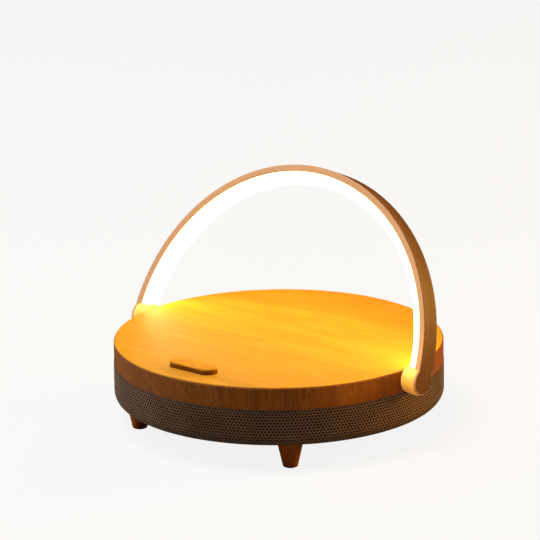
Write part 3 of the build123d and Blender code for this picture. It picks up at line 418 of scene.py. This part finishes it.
MATERIALS = {
    "wood": wood_cap(),
    "wood_light": wood_hub(),
    "wood_dark": wood_arch(),
    "leg_wood": wood_leg(),
    "grille": grille_paint(),
    "cloth": cloth_weave(),
    "diffuser": opal(),
    "board": solder_board(),
    "black_plastic": plain("black_plastic", (0.010, 0.010, 0.010), (0.022, 0.021, 0.020), 2.2, (0.42, 0.56)),
    "brown_plastic": plain("brown_plastic", (0.030, 0.016, 0.010), (0.052, 0.030, 0.019), 1.8, (0.45, 0.60)),
    "rubber": plain("rubber", (0.010, 0.009, 0.009), (0.024, 0.022, 0.021), 3.0, (0.70, 0.85), 0.03),
    "mark": plain("mark", (0.10, 0.038, 0.012), (0.15, 0.060, 0.020), 3.0, (0.45, 0.6)),
    "ferrite": plain("ferrite", (0.018, 0.018, 0.020), (0.042, 0.042, 0.046), 1.6, (0.50, 0.70), 0.03),
    "led": plain("led", (0.80, 0.58, 0.14), (0.90, 0.70, 0.24), 2.0, (0.25, 0.35), 0.01),
    "black_steel": plain("black_steel", (0.012, 0.012, 0.012), (0.030, 0.030, 0.030), 2.4, (0.34, 0.48)),
    "paper": plain("paper", (0.018, 0.018, 0.018), (0.045, 0.044, 0.042), 1.3, (0.80, 0.95), 0.06),
    "wire": plain("wire", (0.22, 0.010, 0.008), (0.32, 0.020, 0.016), 1.6, (0.40, 0.52), 0.01),
    "copper": brushed("copper", (0.52, 0.19, 0.085), (0.66, 0.28, 0.14), (2.4, 2.4, 2.4), (0.24, 0.40)),
    "steel": brushed("steel", (0.42, 0.42, 0.43), (0.60, 0.60, 0.61), (0.5, 3.0, 3.0), (0.22, 0.38)),
    "brass": brushed("brass", (0.55, 0.40, 0.16), (0.70, 0.53, 0.24), (3.0, 0.6, 0.6), (0.22, 0.36)),
}
for subpart in frame["record"]["subparts"]:
    node = frame["nodes"][subpart["node"]]
    node.data.materials.clear()
    node.data.materials.append(MATERIALS[subpart["material_slot"]])
frame["nodes"]["control_key"].data.materials[0] = wood_key()


# ---- perforated band --------------------------------------------------------------------

COLUMNS = 304
ROWS = 14
HOLE_SIDES = 8
HOLE_RADIUS = 0.63 * MM
TOP_MARGIN = -0.30 * MM
EDGE_STRIP = 0.06 * MM
PORT_MARGIN = 0.25 * MM

grille_low, grille_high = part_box("grille_sleeve")
GRILLE_RADIUS = grille_high.x
PITCH = math.tau * GRILLE_RADIUS / COLUMNS
ROW_STEP = PITCH * math.sqrt(3) / 2
WALL = grille_high.z - grille_low.z - GRILLE_CURL
PROFILE = WALL + GRILLE_CURL * math.pi / 2
port_low, port_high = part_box("port_bezel")
PORT_Z = (port_low.z + port_high.z) / 2


def band_point(around, down, depth):
    """The point an arc length round from -Y and down the band's profile, depth under its face."""
    if down <= WALL:
        radius, z, lean = GRILLE_RADIUS, grille_high.z - down, 0.0
    else:
        lean = (down - WALL) / GRILLE_CURL
        radius = GRILLE_RADIUS - GRILLE_CURL * (1 - math.cos(lean))
        z = grille_high.z - WALL - GRILLE_CURL * math.sin(lean)
    radius -= depth * math.cos(lean)
    z += depth * math.sin(lean)
    angle = around / GRILLE_RADIUS
    return Vector((radius * math.sin(angle), -radius * math.cos(angle), z))


def port_offset(around, down):
    """Where a place on the band is from the inlet's middle, along and up."""
    half_turn = math.pi * GRILLE_RADIUS
    along = (around - half_turn + half_turn) % (2 * half_turn) - half_turn
    return Vector((along, grille_high.z - down - PORT_Z))


def port_clear(offset):
    """Distance outside the inlet's rounded opening, below zero inside it."""
    reach = max(abs(offset.x) - (PORT_HALF.x - PORT_HALF.y), 0.0)
    return math.hypot(reach, offset.y) - PORT_HALF.y


def clear_port(around, down):
    """The place itself, or the nearest on the opening's outline if it is inside."""
    offset = port_offset(around, down)
    if port_clear(offset) >= 0:
        return around, down
    spine = max(-(PORT_HALF.x - PORT_HALF.y), min(PORT_HALF.x - PORT_HALF.y, offset.x))
    away = Vector((offset.x - spine, offset.y))
    away = away.normalized() * PORT_HALF.y if away.length > 1e-9 else Vector((0, PORT_HALF.y))
    return around + spine + away.x - offset.x, grille_high.z - PORT_Z - away.y


def build_grille():
    """The sheet's corners and faces, and which faces are inside it or in a hole."""
    verts, faces, shaded, corner_index = [], [], [], {}

    def corner(u, v):
        """Outer and inner vertex at half-column u and third-row v of the honeycomb."""
        key = (u % (2 * COLUMNS), v)
        if key not in corner_index:
            down = max(TOP_MARGIN + ROW_STEP * (2 + v) / 3, EDGE_STRIP)
            place = clear_port(key[0] * PITCH / 2, down)
            corner_index[key] = len(verts)
            verts.append(band_point(*place, 0.0))
            verts.append(band_point(*place, GRILLE_SHEET))
        return corner_index[key]

    ring = ((0, -2), (1, -1), (1, 1), (0, 2), (-1, 1), (-1, -1))
    walls = {}
    for row in range(ROWS):
        for column in range(COLUMNS):
            u, v = 2 * column + row % 2, 3 * row
            around = u * PITCH / 2
            down = TOP_MARGIN + ROW_STEP * (2 + v) / 3
            places = [(around + du * PITCH / 2, down + dv * ROW_STEP / 3) for du, dv in ring]
            gaps = [port_clear(port_offset(*place)) for place in places]
            if max(gaps) <= 0:
                continue
            corners = [corner(u + du, v + dv) for du, dv in ring]
            for a, b in zip(corners, corners[1:] + corners[:1]):
                walls[(a, b)] = walls.get((a, b), 0) + 1
            if min(gaps) < PORT_MARGIN:
                faces.append(tuple(corners))
                faces.append(tuple(c + 1 for c in reversed(corners)))
                continue
            first = len(verts)
            for side in range(HOLE_SIDES):
                turn = math.tau * (side + 0.5) / HOLE_SIDES
                place = (around + HOLE_RADIUS * math.sin(turn), down - HOLE_RADIUS * math.cos(turn))
                verts.append(band_point(*place, 0.0))
                verts.append(band_point(*place, GRILLE_SHEET))
            hole = [first + 2 * side for side in range(HOLE_SIDES)]
            fill_cell(faces, corners, hole, 0)
            inner_first = len(faces)
            fill_cell(faces, corners, hole, 1)
            for a, b in zip(hole, hole[1:] + hole[:1]):
                faces.append((a, b, b + 1, a + 1))
            shaded.extend(range(inner_first, len(faces)))
    # the plain margins at the top and bottom, stitched to the honeycomb's open edges
    top_line = [corner(u, -2 if u % 2 == 0 else -1) for u in range(2 * COLUMNS)]
    last = 3 * (ROWS - 1)
    odd = (ROWS - 1) % 2
    low_line = [corner(u, last + (2 if u % 2 == odd else 1)) for u in range(2 * COLUMNS)]
    for line, down in ((top_line, 0.0), (low_line, PROFILE)):
        start = len(verts)
        for u in range(2 * COLUMNS):
            verts.append(band_point(u * PITCH / 2, down, 0.0))
            verts.append(band_point(u * PITCH / 2, down, GRILLE_SHEET))
        for u in range(2 * COLUMNS):
            nxt = (u + 1) % (2 * COLUMNS)
            a, b = start + 2 * u, start + 2 * nxt
            c, d = line[nxt], line[u]
            outer = (a, b, c, d) if down else (d, c, b, a)
            faces.append(outer)
            faces.append(tuple(i + 1 for i in reversed(outer)))
            rim = (b, a, a + 1, b + 1) if down else (a, b, b + 1, a + 1)
            faces.append(rim)
    # the cut sheet's edge round the inlet
    outline = set(top_line) | set(low_line)
    for a, b in [edge for edge in walls if (edge[1], edge[0]) not in walls]:
        if not (a in outline and b in outline):
            faces.append((b, a, a + 1, b + 1))
    return verts, faces, shaded


def fill_cell(faces, corners, hole, layer):
    """Triangles between a honeycomb cell's six corners and its hole, turned over on layer 1."""
    sides = len(hole)
    hole_turn = [(side + 0.5) / sides for side in range(sides)]
    corner_turn = [k / 6 for k in range(6)]
    # walk round both rings together, always taking the nearer next point
    i = j = 0
    strip = []
    while i < 6 or j < sides:
        next_corner = corner_turn[i + 1] if i + 1 < 6 else 1.0 + (i + 1 - 6) / 6
        next_hole = hole_turn[j + 1] if j + 1 < sides else 1.0 + hole_turn[(j + 1) % sides]
        if j >= sides or (i < 6 and next_corner <= next_hole):
            strip.append((corners[i % 6], corners[(i + 1) % 6], hole[j % sides]))
            i += 1
        else:
            strip.append((corners[i % 6], hole[(j + 1) % sides], hole[j % sides]))
            j += 1
    for triangle in strip:
        faces.append(triangle if layer == 0 else tuple(k + 1 for k in reversed(triangle)))


def new_piece(name, verts, faces, material, body):
    """A mesh object with a material, riding a body."""
    mesh = bpy.data.meshes.new(name)
    mesh.from_pydata([tuple(v) for v in verts], [], faces)
    mesh.validate()
    mesh.update()
    mesh.materials.append(material)
    piece = bpy.data.objects.new(name, mesh)
    bpy.context.scene.collection.objects.link(piece)
    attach(piece, body)
    return piece


band_verts, band_faces, band_shaded = build_grille()
grille = new_piece("perforated_band", band_verts, band_faces, MATERIALS["grille"], "base")
# the hole walls and the sheet's inner face are painted near black: painted shade inside the holes
grille.data.materials.append(
    plain("grille_hole_shade", (0.010, 0.007, 0.005), (0.020, 0.014, 0.010), 3.0, (0.6, 0.8))
)
for face_index in band_shaded:
    grille.data.polygons[face_index].material_index = 1
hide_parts("grille_sleeve")


# ---- floor, light and camera ------------------------------------------------------------

FLOOR_HALF = 6.0
FLOOR_GLOW = 0.868
floor_mesh = bpy.data.meshes.new("floor")
floor_mesh.from_pydata(
    [(x * FLOOR_HALF, y * FLOOR_HALF, 0) for x, y in ((-1, -1), (1, -1), (1, 1), (-1, 1))],
    [],
    [(0, 1, 2, 3)],
)
floor = bpy.data.objects.new("floor", floor_mesh)
bpy.context.scene.collection.objects.link(floor)
pale = Tree("pale_floor")
mist = pale.noise(pale.scaled((0.004, 0.004, 0.004)), 2.0)
# the floor glows to the camera alone, so that the backdrop is pale and the object stays dim
seen_floor = pale.nodes.new("ShaderNodeLightPath").outputs["Is Camera Ray"]
seen_colour = pale.ramp(mist, (0.3, (0.060, 0.060, 0.060)), (0.7, (0.064, 0.064, 0.064)))
floor_colour = pale.mix(seen_floor, (0.30, 0.29, 0.28), seen_colour)
pale.join((1.0, 1.0, 1.0, 1.0), pale.shader.inputs["Emission Color"])
pale.join(pale.math("MULTIPLY", seen_floor, FLOOR_GLOW), pale.shader.inputs["Emission Strength"])
floor_mesh.materials.append(pale.finish(floor_colour, 0.9, Specular_IOR_Level=0.0))

world = bpy.data.worlds.new("studio")
bpy.context.scene.world = world
world.use_nodes = True
# a dim sky lights the object, and the camera sees a pale one
sky = world.node_tree.nodes["Background"]
seen = world.node_tree.nodes.new("ShaderNodeBackground")
rays = world.node_tree.nodes.new("ShaderNodeLightPath")
blend = world.node_tree.nodes.new("ShaderNodeMixShader")
sky.inputs["Color"].default_value = (0.90, 0.95, 1.0, 1.0)
sky.inputs["Strength"].default_value = 0.06
seen.inputs["Color"].default_value = (0.939, 0.939, 0.939, 1.0)
seen.inputs["Strength"].default_value = 1.0
world.node_tree.links.new(rays.outputs["Is Camera Ray"], blend.inputs["Fac"])
world.node_tree.links.new(sky.outputs[0], blend.inputs[1])
world.node_tree.links.new(seen.outputs[0], blend.inputs[2])
world.node_tree.links.new(blend.outputs[0], world.node_tree.nodes["World Output"].inputs["Surface"])


def area_light(name, place, target, size, power, colour):
    """A soft area light at a place, facing a target, power in watts."""
    data = bpy.data.lights.new(name, "AREA")
    data.shape = "DISK"
    data.size = size
    data.energy = power
    data.color = colour
    light = bpy.data.objects.new(name, data)
    light.location = place
    light.rotation_mode = "QUATERNION"
    light.rotation_quaternion = (Vector(target) - Vector(place)).to_track_quat("-Z", "Y")
    light.visible_camera = False
    bpy.context.scene.collection.objects.link(light)


area_light("key", (0.0, -0.45, 1.35), (0, 0, 0.03), 0.8, 19.5, (1.0, 0.92, 0.78))
area_light("left_fill", (-1.4, -0.55, 0.45), (0, 0, 0.03), 0.8, 17.0, (1.0, 0.94, 0.88))
area_light("right_fill", (0.85, 1.30, 0.38), (0, 0, 0.03), 0.6, 46.0, (1.0, 0.54, 0.10))
area_light("lamp_fill", (0.120, -0.045, 0.070), (0.086, -0.018, 0.034), 0.03, 0.020, (1.0, 0.60, 0.15))

CAMERA_PLACE = Vector((1.6748, -2.0130, 0.8751))
CAMERA_TARGET = Vector((-0.003259, -0.002715, 0.087076))
CAMERA_ROLL = -0.012787
CAMERA_SENSOR = 36.0
CAMERA_LENS = 333.5

view = (CAMERA_TARGET - CAMERA_PLACE).normalized()
level = view.cross(Vector((0, 0, 1))).normalized()
plumb = level.cross(view)
across = math.cos(CAMERA_ROLL) * level + math.sin(CAMERA_ROLL) * plumb
upward = -math.sin(CAMERA_ROLL) * level + math.cos(CAMERA_ROLL) * plumb
camera_data = bpy.data.cameras.new("camera")
camera_data.sensor_width = CAMERA_SENSOR
camera_data.lens = CAMERA_LENS
camera_data.clip_end = 50.0
camera = bpy.data.objects.new("camera", camera_data)
bpy.context.scene.collection.objects.link(camera)
camera.matrix_world = Matrix.LocRotScale(
    CAMERA_PLACE, Matrix((across, upward, -view)).transposed(), None
)
bpy.context.scene.camera = camera

bpy.context.scene.view_settings.view_transform = "Standard"
bpy.context.scene.view_settings.look = "None"
